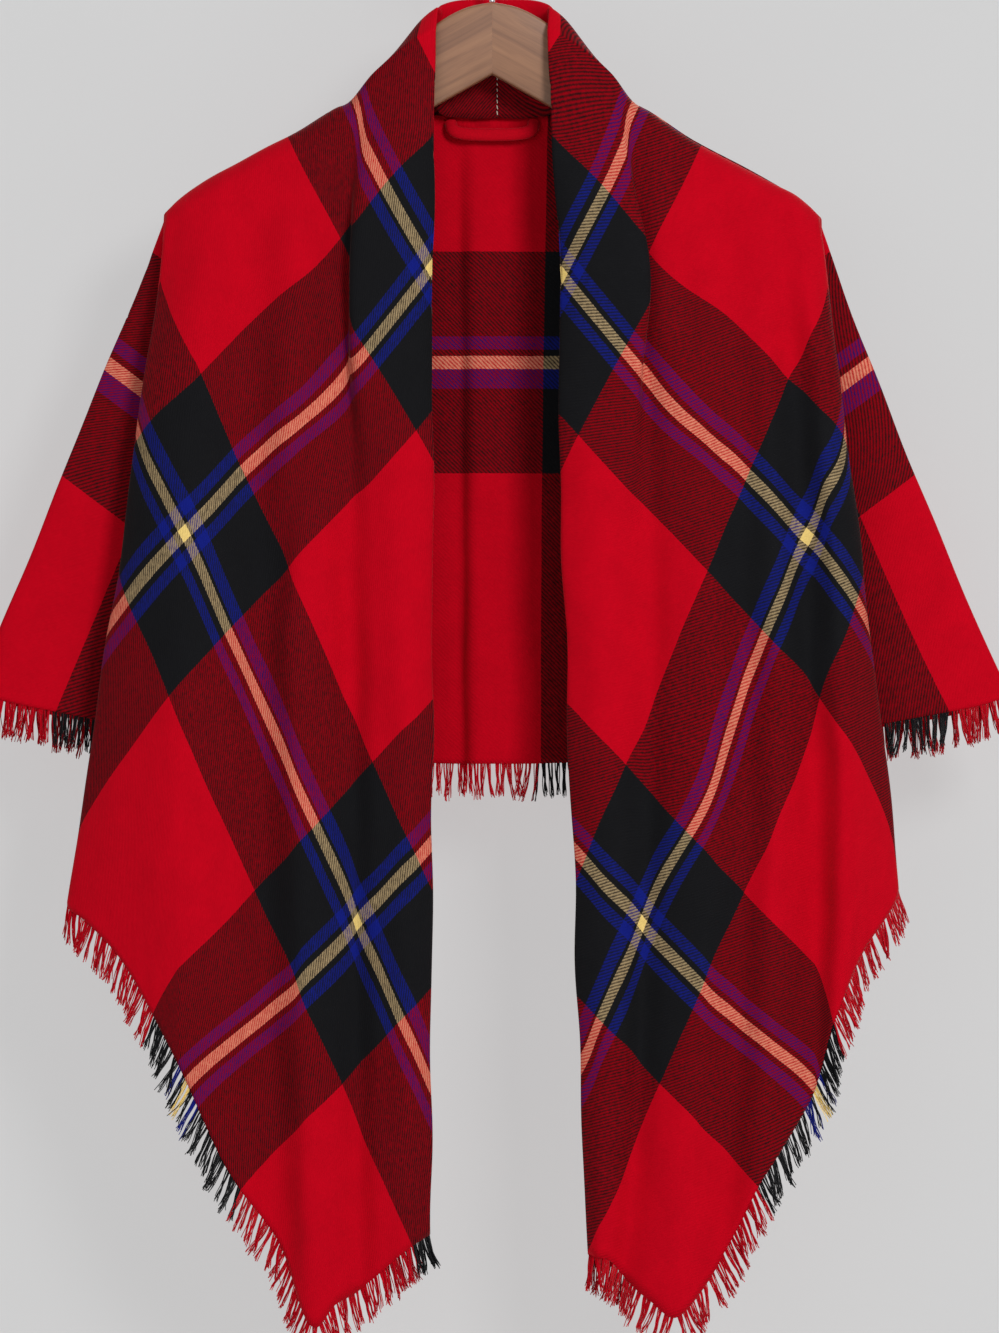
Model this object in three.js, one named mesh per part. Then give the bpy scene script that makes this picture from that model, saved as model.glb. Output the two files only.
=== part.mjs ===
// Open-front cape wrap hanging on a wooden hanger. Millimetres, +Z up, the viewer stands at -Y.
// The origin is the top of the rail's seat inside the hanger's hook.
import * as THREE from 'three';
import { mergeVertices } from 'three/addons/utils/BufferGeometryUtils.js';

const clothThickness = 2;       // wall of the wool twill, with its nap
const seamGap = 0.3;            // space left between two pieces of cloth
const rowCount = 15;            // rows of facets from the shoulder to the hem
const columnSteps = 2;          // facets between two fold lines
const neckSteps = 2;            // facets between two stations round the neck
const shoulderRadius = 14;      // the cloth rolls over the hanger's arm with this radius
const fringeLength = 27;        // loose threads past the hem
const fringeGap = 0.7;          // between the hem and the solid of their reach
const tuckGap = 1.2;            // in the sharp valley between the collar and the front
const fringeDroop = 0.6;        // share of straight down in the way that the threads hang
const clothShift = 3.4;         // the cape hangs this far to the right of the hook
const hangerHalfDepth = 6;      // wooden arms, half of their thickness
const hangerBevel = 1.6;        // rounded edges of the arms
const mitreGap = 0.3;           // between the two arms at the middle
const hookWire = 3.8;           // diameter of the steel wire
const hookRadius = 18;          // middle of the wire round the rail
const woodTop = -60;            // top of the arms where the hook is screwed in
const collarLevel = -250;       // where the shawl collar stands proudest
const collarReach = 105;        // half of the height over which it fades

// Fold lines of one half, from the valley beside the collar round the side to the back.
// x0 e0 z0: the line's top on the shoulder. y0: depth just below the shoulder's roll.
// x1 y1 z1: half way down. x2 y2 z2: at the hem.
const foldColumns = ['x0', 'e0', 'z0', 'y0', 'x1', 'y1', 'z1', 'x2', 'y2', 'z2'];
const leftFolds = {
  tuck: [-100, -0.6, -128, -17, -99, -38, -531, -93, -35, -939],
  innerRidge: [-112, -0.6, -134, -16, -118, -48, -538, -110, -43, -949],
  cornerRidge: [-134, -0.6, -148, -15, -139, -54, -548, -127, -46, -963],
  middleValley: [-158, -0.6, -160, -15, -161, -40, -531, -150, -36, -905],
  outerSlope: [-178, -0.6, -171, -15, -186, -49, -504, -184, -49, -856],
  outerRidge: [-195, -0.6, -180, -15, -213, -56, -484, -216, -54, -787],
  sideSlope: [-209, -0.6, -189, -14, -237, -46, -470, -250, -45, -722],
  sideTurn: [-218, -0.9, -196, -12, -253, -34, -466, -277, -35, -691],
  frontEdge: [-224, -2.4, -202, -11, -261, -21, -463, -293, -22, -676],
  behindEdge: [-226, -2.0, -204, -8, -248, -14, -455, -268, -14, -650],
  innerValley: [-227, -1.2, -205, -5, -197, -12, -440, -199, -12, -602],
  sleeveRidge: [-227.5, 0, -206, 0, -240, -3, -430, -254, -3, -606],
  hiddenValley: [-227, 1.2, -205, 5, -195, 5, -420, -201, 5, -572],
  wingFace: [-226, 2.0, -204, 8, -283, 8, -386, -336, 7, -539],
  wingEdge: [-224, 2.4, -202, 10, -296, 14, -382, -357, 15, -531],
  wingBack: [-218, 0.9, -196, 12, -272, 25, -390, -322, 27, -545],
  backRidge: [-205, 0.6, -187, 14, -228, 36, -397, -264, 40, -556],
  backValley: [-176, 0.6, -170, 15, -180, 26, -395, -205, 27, -566],
  bladeRidge: [-138, 0.6, -150, 15, -133, 36, -390, -144, 39, -574],
  neckValley: [-100, 3.6, -130, 16, -92, 29, -380, -98, 29, -579],
  neckRidge: [-62, 25.5, -139.6, 27, -56, 36, -370, -60, 37, -581],
  spineSide: [-30, 31, -142.6, 32, -28, 33, -365, -30, 33, -582],
  spine: [-10, 32, -143, 32, -12, 29, -365, -13, 28, -582],
};
const rightFolds = {
  tuck: [92, -0.6, -128, -17, 104, -40, -531, 87, -36, -931],
  innerRidge: [106, -0.6, -137, -16, 122, -49, -538, 104, -44, -946],
  cornerRidge: [131, -0.6, -154, -15, 147, -55, -548, 124, -48, -957],
  middleValley: [153, -0.6, -166, -15, 169, -43, -531, 152, -38, -919],
  outerSlope: [174, -0.6, -177, -15, 190, -50, -511, 180, -50, -864],
  outerRidge: [191, -0.6, -186, -14, 211, -36, -484, 216, -34, -804],
  sideSlope: [203, -0.6, -192, -14, 230, -49, -470, 232, -47, -749],
  sideTurn: [212, -0.9, -199, -12, 243, -40, -463, 250, -39, -708],
  frontEdge: [218, -2.4, -205, -11, 251, -22, -463, 273, -24, -667],
  behindEdge: [220, -2.0, -207, -8, 240, -14, -455, 250, -15, -640],
  innerValley: [221, -1.2, -208, -5, 192, -12, -440, 194, -12, -602],
  sleeveRidge: [221.5, 0, -209, 0, 230, -3, -430, 242, -3, -606],
  hiddenValley: [221, 1.2, -208, 5, 190, 5, -420, 196, 5, -572],
  wingFace: [220, 2.0, -207, 8, 273, 8, -390, 330, 7, -542],
  wingEdge: [218, 2.4, -205, 10, 285, 14, -388, 351, 15, -534],
  wingBack: [212, 0.9, -199, 12, 262, 25, -395, 316, 27, -548],
  backRidge: [200, 0.6, -191, 14, 222, 36, -400, 258, 40, -558],
  backValley: [172, 0.6, -175, 15, 176, 27, -395, 200, 27, -567],
  bladeRidge: [134, 0.6, -155, 15, 130, 35, -390, 140, 39, -575],
  neckValley: [92, 3.6, -130, 16, 90, 28, -380, 94, 29, -580],
  neckRidge: [62, 25.5, -139.6, 27, 56, 36, -370, 56, 38, -581],
  spineSide: [30, 31, -142.6, 32, 24, 34, -365, 24, 34, -582],
};

// The rolled edge strip, from the edge turned under to the collar's outer ridge. bulge: how
// far the ridge stands out sideways and forwards where the collar is fullest.
const rollColumns = ['x0', 'y0', 'z0', 'x1', 'y1', 'z1', 'x2', 'y2', 'z2', 'bulgeX', 'bulgeY'];
const leftRoll = {
  turnedEdge: [-58, -14, -98, -76, -34, -525, -78, -31, -922, 0, -4],
  turnedMiddle: [-49, -13, -90, -53, -34, -528, -53, -31, -906, 0, -5],
  roll: [-43, -14, -80, -45, -40, -531, -45.5, -37, -902, 0, -5],
  rollFront: [-58, -15, -88, -60, -49, -531, -60, -45, -911, 0, -9],
  collarRidge: [-80, -11, -108, -82, -47, -531, -78, -43, -926, -16, -15],
};
const rightRoll = {
  turnedEdge: [50, -14, -98, 80, -34, -525, 92, -31, -930, 0, -4],
  turnedMiddle: [42, -13, -90, 56, -34, -528, 68, -31, -920, 0, -5],
  roll: [35, -14, -80, 48, -40, -531, 62, -37, -915, 4, -5],
  rollFront: [50, -15, -88, 64, -49, -531, 68, -45, -917, 5, -9],
  collarRidge: [72, -11, -108, 84, -47, -531, 76, -43, -919, 23, -15],
};

// The collar round the neck: stations from the centre-back seam to the side of the neck.
// seam, stand, top, fall and slope are its five lines, foot is where it meets the back.
const neckStations = [
  { seam: [0.15, 26, -137.5], stand: [0.15, 18.5, -98], top: [0.15, 22, -57.5], fall: [0.15, 28, -76],
    slope: [0.15, 31.5, -108], foot: [0.15, 32, -140.9] },
  { seam: [24, 24, -137.5], stand: [23, 17, -98], top: [24, 20, -58], fall: [28, 26.5, -77],
    slope: [30, 30.5, -109], foot: [31, 31, -140.4] },
  { seam: [42, 15.5, -131], stand: [38, 11.5, -96], top: [37, 11.5, -62], fall: [45, 18.5, -77],
    slope: [55, 24, -106], foot: [63, 25.5, -137.4] },
  { seam: [47.5, 10.4, -88], stand: [42.5, 9.6, -78], top: [39.5, 5.5, -65], fall: [50, 10.5, -77],
    slope: [66, 14, -104.5], foot: [78, 17, -132.5] },
  { seam: [49.5, 1, -73], stand: [45.5, 0.4, -69], top: [41.5, -1.5, -65], fall: [54, 1, -75],
    slope: [75, 1, -104], foot: [93, 6, -127.5] },
];
const neckLines = ['seam', 'stand', 'top', 'fall', 'slope', 'foot'];
const neckShift = { left: 0, right: -5 };   // the right half of the collar sits closer in

const red = 0xb5041c;
const darkRed = 0x6a141c;
const wood = 0x966f58;

const readRow = (names, row) => Object.fromEntries(names.map((name, k) => [name, row[k]]));
const throughThree = (a, b, c, w) => a * (1 - w) * (1 - 2 * w) + 4 * b * w * (1 - w) + c * w * (2 * w - 1);
const cubicWeights = (t) => [
  0.5 * (-t + 2 * t * t - t * t * t),
  0.5 * (2 - 5 * t * t + 3 * t * t * t),
  0.5 * (t + 4 * t * t - 3 * t * t * t),
  0.5 * (-t * t + t * t * t),
];
// Rows lie closer together near the shoulder, where the cloth turns over the arm.
const rowShare = (row) => (row / rowCount) ** 2;

// A fold line: a parabola through its three places, with the shoulder's roll taken off its depth.
function foldPoint(row, w) {
  const f = readRow(foldColumns, row);
  const x = throughThree(f.x0, f.x1, f.x2, w);
  const z = throughThree(f.z0, f.z1, f.z2, w);
  const drop = Math.min(Math.max((f.z0 - z) / shoulderRadius, 0), 1);
  const roll = Math.sqrt(1 - (1 - drop) ** 2);
  const y = f.e0 + (throughThree(f.y0, f.y1, f.y2, w) - f.e0) * roll;
  return new THREE.Vector3(x, y, z);
}

// A line of the rolled edge: the same parabola, pushed out where the collar is fullest.
function rollPoint(row, w) {
  const r = readRow(rollColumns, row);
  const z = throughThree(r.z0, r.z1, r.z2, w);
  const fullness = Math.exp(-(((z - collarLevel) / collarReach) ** 2));
  const x = throughThree(r.x0, r.x1, r.x2, w) + r.bulgeX * fullness;
  const y = throughThree(r.y0, r.y1, r.y2, w) + r.bulgeY * fullness;
  return new THREE.Vector3(x, y, z);
}

// Smooth points between neighbouring ones of a list, by a Catmull-Rom curve.
function smoothed(points, steps) {
  const at = (k) => {
    if (k < 0) return points[0].clone().multiplyScalar(2).sub(points[1]);
    if (k >= points.length) return points[k - 1].clone().multiplyScalar(2).sub(points[k - 2]);
    return points[k];
  };
  const out = [];
  for (let k = 0; k < points.length - 1; k++) {
    for (let s = 0; s < steps; s++) {
      const weights = cubicWeights(s / steps);
      const point = new THREE.Vector3();
      weights.forEach((weight, m) => point.addScaledVector(at(k - 1 + m), weight));
      out.push(point);
    }
  }
  out.push(points[points.length - 1].clone());
  return out;
}

// A grid of points is rows from shoulder to hem, each a list across the fold lines.
function foldGrid(folds) {
  const rows = [];
  for (let k = 0; k <= rowCount; k++) {
    rows.push(smoothed(Object.values(folds).map((row) => foldPoint(row, rowShare(k))), columnSteps));
  }
  return rows;
}

function collarGrid(roll, tuck, side, shift) {
  const neck = neckStations.map((station, k) => neckLines.map((line) => {
    const [x, y, z] = station[line];
    const reach = k === 0 ? 0 : shift * (k / (neckStations.length - 1));
    return new THREE.Vector3(side * (x + reach), y, z);
  }));
  const front = [];
  for (let k = 0; k <= rowCount; k++) {
    const w = rowShare(k);
    front.push([...Object.values(roll).map((row) => rollPoint(row, w)), foldPoint(tuck, w)]);
  }
  const across = neckLines.map((line, m) => {
    const stations = neck.map((points) => points[m]);
    return smoothed([...stations, front[0][m]], neckSteps).slice(0, -1);
  });
  const neckRows = across[0].map((point, k) => across.map((list) => list[k]));
  return [...neckRows, ...front].map((points) => smoothed(points, columnSteps));
}

// Directions square to a grid, from the differences between its neighbours.
function gridNormals(grid) {
  return grid.map((row, i) => row.map((point, j) => {
    const down = grid[Math.min(i + 1, grid.length - 1)][j].clone().sub(grid[Math.max(i - 1, 0)][j]);
    const along = row[Math.min(j + 1, row.length - 1)].clone().sub(row[Math.max(j - 1, 0)]);
    return along.cross(down).normalize();
  }));
}

// The two side edges of a piece are drawn in by half of their seams' gaps.
function drawnIn(grid, edges) {
  const rows = grid.map((row) => row.map((point) => point.clone()));
  const pull = (point, inner, gap) => {
    const way = inner.clone().sub(point);
    point.addScaledVector(way.normalize(), gap / 2);
  };
  rows.forEach((row) => {
    pull(row[0], row[1], edges.start);
    pull(row[row.length - 1], row[row.length - 2], edges.end);
  });
  return rows;
}

// A closed wall: both faces of the grid, offset along the normals, and the rim between them.
function clothWall(grid, normals, thickness) {
  const rows = grid.length;
  const columns = grid[0].length;
  const positions = [];
  for (const side of [0.5, -0.5]) {
    grid.forEach((row, i) => row.forEach((point, j) => {
      const p = point.clone().addScaledVector(normals[i][j], side * thickness);
      positions.push(p.x, p.y, p.z);
    }));
  }
  const under = rows * columns;
  const id = (i, j) => i * columns + j;
  const index = [];
  const quad = (a, b, c, d) => index.push(a, b, c, a, c, d);
  for (let i = 0; i < rows - 1; i++) {
    for (let j = 0; j < columns - 1; j++) {
      const [a, b, c, d] = [id(i, j), id(i + 1, j), id(i + 1, j + 1), id(i, j + 1)];
      quad(a, d, c, b);
      quad(a + under, b + under, c + under, d + under);
    }
  }
  const rim = (a, b) => quad(a, b, b + under, a + under);
  for (let j = 0; j < columns - 1; j++) {
    rim(id(0, j + 1), id(0, j));
    rim(id(rows - 1, j), id(rows - 1, j + 1));
  }
  for (let i = 0; i < rows - 1; i++) {
    rim(id(i, 0), id(i + 1, 0));
    rim(id(i + 1, columns - 1), id(i, columns - 1));
  }
  return facingOut(positions, index);
}

// Turns the triangles round if the volume they enclose comes out negative.
function facingOut(positions, index) {
  const at = (k) => new THREE.Vector3().fromArray(positions, 3 * k);
  let volume = 0;
  for (let k = 0; k < index.length; k += 3) {
    volume += at(index[k]).dot(at(index[k + 1]).cross(at(index[k + 2])));
  }
  const turned = volume < 0 ? index.slice().reverse() : index;
  const geometry = new THREE.BufferGeometry();
  geometry.setAttribute('position', new THREE.Float32BufferAttribute(positions, 3));
  geometry.setIndex(turned);
  return geometry;
}

// Reach of the loose threads: from the hem, partly square to it and partly straight down.
function fringeWall(grid, normals) {
  const hem = grid[grid.length - 1];
  const above = grid[grid.length - 2];
  const hemNormals = normals[normals.length - 1];
  const start = [];
  const tips = [];
  hem.forEach((point, j) => {
    const along = hem[Math.min(j + 1, hem.length - 1)].clone().sub(hem[Math.max(j - 1, 0)]);
    const out = along.cross(hemNormals[j]).normalize();
    if (out.dot(point.clone().sub(above[j])) < 0) out.negate();
    start.push(point.clone().addScaledVector(out, fringeGap));
    const way = out.multiplyScalar(1 - fringeDroop).add(new THREE.Vector3(0, 0, -fringeDroop)).normalize();
    tips.push(point.clone().addScaledVector(way, fringeLength));
  });
  return clothWall([start, tips], [hemNormals, hemNormals], clothThickness);
}

const cape = new THREE.Group();

function addPart(name, geometry, color, roughness, metalness = 0) {
  const material = new THREE.MeshStandardMaterial({ color, roughness, metalness });
  const mesh = new THREE.Mesh(geometry, material);
  mesh.name = name;
  cape.add(mesh);
}

// A piece of cloth, and the fringe along its hem from column first to column last.
function addCloth(name, grid, normals, edges, color, first = 0, last = grid[0].length - 1) {
  const drawn = drawnIn(grid, edges);
  const fringe = fringeWall(cut(drawn, first, last), cut(normals, first, last));
  addPart(name, clothWall(drawn, normals, clothThickness).translate(clothShift, 0, 0), color, 0.9);
  addPart(`fringe_${name}`, fringe.translate(clothShift, 0, 0), red, 0.95);
}

// One half's slice of fold lines, and the same slice of its normals.
const columnAt = (folds, name) => Object.keys(folds).indexOf(name) * columnSteps;
const cut = (rows, first, last) => rows.map((row) => row.slice(first, last + 1));

function levelTopNormals(normals) {
  normals[0].forEach((normal) => {
    normal.y *= 0.15;
    normal.normalize();
  });
  return normals;
}

// Normals on the line that the collar and the front share, from the points on both its sides.
function shareLine(strip, stripNormals, grid, normals) {
  const neckRows = strip.length - grid.length;
  const last = strip[0].length - 1;
  grid.forEach((row, i) => {
    const down = grid[Math.min(i + 1, grid.length - 1)][0].clone().sub(grid[Math.max(i - 1, 0)][0]);
    const along = row[1].clone().sub(strip[neckRows + i][last - 1]);
    normals[i][0] = along.cross(down).normalize();
    stripNormals[neckRows + i][last] = normals[i][0];
  });
}

function addHalf(side, folds, roll) {
  const sign = side === 'left' ? -1 : 1;
  const grid = foldGrid(folds);
  const normals = gridNormals(grid);
  const strip = collarGrid(roll, folds.tuck, sign, neckShift[side]);
  const stripNormals = gridNormals(strip);
  shareLine(strip, stripNormals, grid, normals);
  levelTopNormals(normals);
  const valley = columnAt(folds, 'innerValley');
  const turn = columnAt(folds, 'wingBack');
  const edge = columnAt(folds, 'frontEdge');
  const pastValley = columnAt(folds, 'hiddenValley') - valley + 1;
  const frontEdges = { start: tuckGap, end: seamGap };
  const wingEdges = { start: seamGap, end: seamGap };
  addCloth(`front_${side}`, cut(grid, 0, valley), cut(normals, 0, valley), frontEdges, darkRed, 0, edge);
  addCloth(`wing_${side}`, cut(grid, valley, turn), cut(normals, valley, turn), wingEdges, darkRed, pastValley);
  addCloth(`collar_${side}`, strip, stripNormals, { start: 0, end: tuckGap }, darkRed);
}

// The back joins both halves behind the wings, across the spine.
function backRows() {
  const behind = (folds) => Object.values(folds).slice(Object.keys(folds).indexOf('wingBack'));
  return Object.fromEntries([...behind(leftFolds), ...behind(rightFolds).reverse()].entries());
}

addHalf('left', leftFolds, leftRoll);
addHalf('right', rightFolds, rightRoll);
const back = foldGrid(backRows());
addCloth('back', back, levelTopNormals(gridNormals(back)), { start: seamGap, end: seamGap }, red);

// Hanging loop: a flat fabric tube sewn under the back-neck seam.
const loop = {
  halfWidth: 28, seamZ: -139, sag: 10, y: 27.2, yOut: 23, tube: [2.2, 4.2],
};
function loopGeometry() {
  const route = new THREE.CatmullRomCurve3([
    new THREE.Vector3(-loop.halfWidth - 1, loop.y, loop.seamZ - 1.5),
    new THREE.Vector3(-loop.halfWidth + 2, loop.yOut, loop.seamZ - loop.sag * 0.75),
    new THREE.Vector3(-loop.halfWidth * 0.5, loop.yOut, loop.seamZ - loop.sag),
    new THREE.Vector3(loop.halfWidth * 0.5, loop.yOut, loop.seamZ - loop.sag),
    new THREE.Vector3(loop.halfWidth - 2, loop.yOut, loop.seamZ - loop.sag * 0.75),
    new THREE.Vector3(loop.halfWidth + 1, loop.y, loop.seamZ - 1.5),
  ]);
  const section = new THREE.Shape();
  section.absellipse(0, 0, loop.tube[0], loop.tube[1], 0, 2 * Math.PI);
  return new THREE.ExtrudeGeometry(section, { steps: 24, extrudePath: route, curveSegments: 5 });
}
addPart('hanging_loop', loopGeometry(), red, 0.9);

// Wooden arms: an outline in the XZ plane from the middle to the tip and back, extruded.
const armTop = [
  [34, -72], [47, -83], [56, -97.3], [76, -119.6], [95, -134.6], [109, -143], [134, -159.4],
  [156, -171.4], [177, -182.4], [196, -192.4], [206, -199],
];
const armUnder = [[211, -205], [211, -212], [204, -217], [180, -210], [120, -183], [70, -149]];
const armMiddle = { top: woodTop, under: -109.5 };
function armGeometry(side) {
  const inner = mitreGap / 2;
  const outline = [[inner, armMiddle.top], ...armTop, ...armUnder, [inner, armMiddle.under]];
  const shape = new THREE.Shape(outline.map(([x, z]) => new THREE.Vector2(side * x, z)));
  const geometry = new THREE.ExtrudeGeometry(shape, {
    depth: 2 * (hangerHalfDepth - hangerBevel), bevelEnabled: true, bevelThickness: hangerBevel,
    bevelSize: hangerBevel, bevelOffset: -hangerBevel, bevelSegments: 2, steps: 1,
  });
  geometry.rotateX(Math.PI / 2);
  geometry.translate(0, hangerHalfDepth - hangerBevel, 0);
  return geometry;
}
addPart('hanger_arm_left', armGeometry(-1), wood, 0.45);
addPart('hanger_arm_right', armGeometry(1), wood, 0.45);

// Steel hook: up from the wood, out to one side, and round the rail past its top.
function hookGeometry() {
  const centreZ = hookWire / 2 - hookRadius;
  const points = [
    new THREE.Vector3(0, 0, woodTop + seamGap + 0.2),
    new THREE.Vector3(0, 0, woodTop + 6),
    new THREE.Vector3(1, 0, woodTop + 14),
    new THREE.Vector3(8, 0, woodTop + 22),
  ];
  for (let degrees = -35; degrees <= 200; degrees += 23.5) {
    const angle = (degrees * Math.PI) / 180;
    points.push(new THREE.Vector3(hookRadius * Math.cos(angle), 0, centreZ + hookRadius * Math.sin(angle)));
  }
  const section = new THREE.Shape();
  section.absarc(0, 0, hookWire / 2, 0, 2 * Math.PI);
  const route = new THREE.CatmullRomCurve3(points);
  return new THREE.ExtrudeGeometry(section, { steps: 60, extrudePath: route, curveSegments: 5 });
}
addPart('hanger_hook', hookGeometry(), 0xb8bcc0, 0.3, 0.9);

cape.children.forEach((mesh) => {
  mesh.geometry.deleteAttribute('normal');
  mesh.geometry.deleteAttribute('uv');
  mesh.geometry = mergeVertices(mesh.geometry, 1e-4);
});

export default cape;
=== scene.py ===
# Open-front cape wrap hanging on a wooden hanger: its cloth, fringe, hanger and hook.
# Lengths in the tables are millimetres in the frame of the part, and mm turns them into metres.
import math
import bpy
import numpy as np
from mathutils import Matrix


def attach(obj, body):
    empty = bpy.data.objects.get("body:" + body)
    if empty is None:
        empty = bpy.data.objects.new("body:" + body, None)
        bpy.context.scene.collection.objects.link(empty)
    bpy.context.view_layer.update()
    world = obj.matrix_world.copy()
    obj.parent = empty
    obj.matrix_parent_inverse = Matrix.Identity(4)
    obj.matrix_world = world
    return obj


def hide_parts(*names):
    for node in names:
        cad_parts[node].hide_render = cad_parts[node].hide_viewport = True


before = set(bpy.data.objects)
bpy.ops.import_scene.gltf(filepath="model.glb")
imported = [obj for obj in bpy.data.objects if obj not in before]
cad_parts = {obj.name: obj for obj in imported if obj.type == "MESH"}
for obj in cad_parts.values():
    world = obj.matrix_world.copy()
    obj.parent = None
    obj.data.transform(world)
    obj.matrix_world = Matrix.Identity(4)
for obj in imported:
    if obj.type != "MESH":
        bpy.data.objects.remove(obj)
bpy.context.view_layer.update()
mm = 0.001
rng = np.random.default_rng(7)

# Fold lines of each half, from the valley beside the collar round the side to the back.
# x0 e0 z0: top on the shoulder. y0: depth just below the shoulder's roll.
# x1 y1 z1: half way down. x2 y2 z2: at the hem.
leftFolds = {
    "tuck": (-100, -0.6, -128, -17, -99, -38, -531, -93, -35, -939),
    "innerRidge": (-112, -0.6, -134, -16, -118, -48, -538, -110, -43, -949),
    "cornerRidge": (-134, -0.6, -148, -15, -139, -54, -548, -127, -46, -963),
    "middleValley": (-158, -0.6, -160, -15, -161, -40, -531, -150, -36, -905),
    "outerSlope": (-178, -0.6, -171, -15, -186, -49, -504, -184, -49, -856),
    "outerRidge": (-195, -0.6, -180, -15, -213, -56, -484, -216, -54, -787),
    "sideSlope": (-209, -0.6, -189, -14, -237, -46, -470, -250, -45, -722),
    "sideTurn": (-218, -0.9, -196, -12, -253, -34, -466, -277, -35, -691),
    "frontEdge": (-224, -2.4, -202, -11, -261, -21, -463, -293, -22, -676),
    "behindEdge": (-226, -2.0, -204, -8, -248, -14, -455, -268, -14, -650),
    "innerValley": (-227, -1.2, -205, -5, -197, -12, -440, -199, -12, -602),
    "sleeveRidge": (-227.5, 0, -206, 0, -240, -3, -430, -254, -3, -606),
    "hiddenValley": (-227, 1.2, -205, 5, -195, 5, -420, -201, 5, -572),
    "wingFace": (-226, 2.0, -204, 8, -283, 8, -386, -336, 7, -539),
    "wingEdge": (-224, 2.4, -202, 10, -296, 14, -382, -357, 15, -531),
    "wingBack": (-218, 0.9, -196, 12, -272, 25, -390, -322, 27, -545),
    "backRidge": (-205, 0.6, -187, 14, -228, 36, -397, -264, 40, -556),
    "backValley": (-176, 0.6, -170, 15, -180, 26, -395, -205, 27, -566),
    "bladeRidge": (-138, 0.6, -150, 15, -133, 36, -390, -144, 39, -574),
    "neckValley": (-100, 3.6, -130, 16, -92, 29, -380, -98, 29, -579),
    "neckRidge": (-62, 25.5, -139.6, 27, -56, 36, -370, -60, 37, -581),
    "spineSide": (-30, 31, -142.6, 32, -28, 33, -365, -30, 33, -582),
    "spine": (-10, 32, -143, 32, -12, 29, -365, -13, 28, -582),
}
rightFolds = {
    "tuck": (92, -0.6, -128, -17, 104, -40, -531, 87, -36, -931),
    "innerRidge": (106, -0.6, -137, -16, 122, -49, -538, 104, -44, -946),
    "cornerRidge": (131, -0.6, -154, -15, 147, -55, -548, 124, -48, -957),
    "middleValley": (153, -0.6, -166, -15, 169, -43, -531, 152, -38, -919),
    "outerSlope": (174, -0.6, -177, -15, 190, -50, -511, 180, -50, -864),
    "outerRidge": (191, -0.6, -186, -14, 211, -36, -484, 216, -34, -804),
    "sideSlope": (203, -0.6, -192, -14, 230, -49, -470, 232, -47, -749),
    "sideTurn": (212, -0.9, -199, -12, 243, -40, -463, 250, -39, -708),
    "frontEdge": (218, -2.4, -205, -11, 251, -22, -463, 273, -24, -667),
    "behindEdge": (220, -2.0, -207, -8, 240, -14, -455, 250, -15, -640),
    "innerValley": (221, -1.2, -208, -5, 192, -12, -440, 194, -12, -602),
    "sleeveRidge": (221.5, 0, -209, 0, 230, -3, -430, 242, -3, -606),
    "hiddenValley": (221, 1.2, -208, 5, 190, 5, -420, 196, 5, -572),
    "wingFace": (220, 2.0, -207, 8, 273, 8, -390, 330, 7, -542),
    "wingEdge": (218, 2.4, -205, 10, 285, 14, -388, 351, 15, -534),
    "wingBack": (212, 0.9, -199, 12, 262, 25, -395, 316, 27, -548),
    "backRidge": (200, 0.6, -191, 14, 222, 36, -400, 258, 40, -558),
    "backValley": (172, 0.6, -175, 15, 176, 27, -395, 200, 27, -567),
    "bladeRidge": (134, 0.6, -155, 15, 130, 35, -390, 140, 39, -575),
    "neckValley": (92, 3.6, -130, 16, 90, 28, -380, 94, 29, -580),
    "neckRidge": (62, 25.5, -139.6, 27, 56, 36, -370, 56, 38, -581),
    "spineSide": (30, 31, -142.6, 32, 24, 34, -365, 24, 34, -582),
}

# The rolled edge strip: x y z at the top, half way down and at the hem, then how far it stands
# out sideways and forwards where the collar is fullest.
leftRoll = {
    "turnedEdge": (-58, -14, -98, -76, -34, -525, -78, -31, -922, 0, -4),
    "turnedMiddle": (-49, -13, -90, -53, -34, -528, -53, -31, -906, 0, -5),
    "roll": (-43, -14, -80, -45, -40, -531, -45.5, -37, -902, 0, -5),
    "rollFront": (-58, -15, -88, -60, -49, -531, -60, -45, -911, 0, -9),
    "collarRidge": (-80, -11, -108, -82, -47, -531, -78, -43, -926, -16, -15),
}
rightRoll = {
    "turnedEdge": (50, -14, -98, 80, -34, -525, 92, -31, -930, 0, -4),
    "turnedMiddle": (42, -13, -90, 56, -34, -528, 68, -31, -920, 0, -5),
    "roll": (35, -14, -80, 48, -40, -531, 62, -37, -915, 4, -5),
    "rollFront": (50, -15, -88, 64, -49, -531, 68, -45, -917, 5, -9),
    "collarRidge": (72, -11, -108, 84, -47, -531, 76, -43, -919, 23, -15),
}

# Stations round the neck from the centre-back seam, each with its six lines: seam, stand, top,
# fall, slope and foot.
neckStations = (
    ((0.15, 26, -137.5), (0.15, 18.5, -98), (0.15, 22, -57.5),
     (0.15, 28, -76), (0.15, 31.5, -108), (0.15, 32, -140.9)),
    ((24, 24, -137.5), (23, 17, -98), (24, 20, -58),
     (28, 26.5, -77), (30, 30.5, -109), (31, 31, -140.4)),
    ((42, 15.5, -131), (38, 11.5, -96), (37, 11.5, -62),
     (45, 18.5, -77), (55, 24, -106), (63, 25.5, -137.4)),
    ((47.5, 10.4, -88), (42.5, 9.6, -78), (39.5, 5.5, -65),
     (50, 10.5, -77), (66, 14, -104.5), (78, 17, -132.5)),
    ((49.5, 1, -73), (45.5, 0.4, -69), (41.5, -1.5, -65),
     (54, 1, -75), (75, 1, -104), (93, 6, -127.5)),
)

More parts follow.
